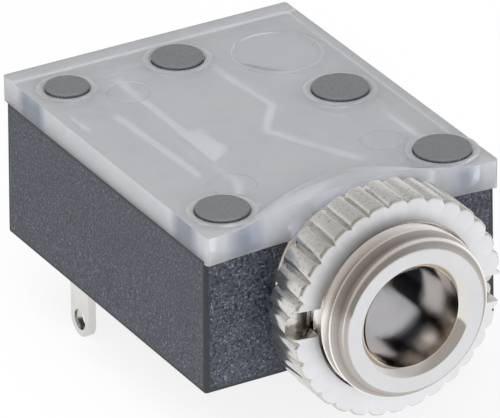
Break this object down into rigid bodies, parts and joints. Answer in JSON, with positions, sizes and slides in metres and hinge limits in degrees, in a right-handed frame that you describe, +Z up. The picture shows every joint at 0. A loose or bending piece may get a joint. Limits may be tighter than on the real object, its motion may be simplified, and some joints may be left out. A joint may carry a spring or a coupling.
{
  "type": "panel audio jack socket",
  "caption": "Slim panel-mount audio jack socket: dark moulded box, translucent staked cover, threaded plated barrel, knurled ring nut and sprung contacts with solder lugs.",
  "frame": {"origin": "on the barrel's axis, in the plane that seats against the panel", "axes": "-Y out of the mouth, the way the plug leaves; +Y back along the body; +Z up, towards the cover; +X to the right seen from the mouth"},
  "size_m": [0.0114, 0.0183, 0.0098],
  "materials": {
    "housing_plastic": "spark-eroded texture",
    "cover_plastic": "satin, translucent",
    "plated_brass": "nickel plated, polished",
    "nut_plating": "nickel plated, bright",
    "contact_metal": "silver plated strip, satin"
  },
  "bodies": {
    "base": {"housing": "housing_plastic", "cover": "cover_plastic", "barrel": "plated_brass", "ring_switch": "contact_metal", "sleeve_contact": "contact_metal"},
    "nut": {"ring_nut": "nut_plating"},
    "tip_contact": {"tip_spring": "contact_metal"},
    "ring_contact": {"ring_spring": "contact_metal"}
  },
  "joints": [
    {"name": "nut_turn", "type": "hinge", "parent": "base", "child": "nut", "pos_m": [0, -0.002, 0], "axis": [0, 1, 0], "continuous": true},
    {"name": "tip_flex", "type": "hinge", "parent": "base", "child": "tip_contact", "pos_m": [0.00182, 0.0122, 0], "axis": [0, 0, 1], "range_deg": [0, 8.5], "stiffness_Nm_per_rad": 0.02},
    {"name": "ring_flex", "type": "hinge", "parent": "base", "child": "ring_contact", "pos_m": [-0.0019, 0.0122, 0], "axis": [0, 0, -1], "range_deg": [0, 3.5], "stiffness_Nm_per_rad": 0.03}
  ]
}
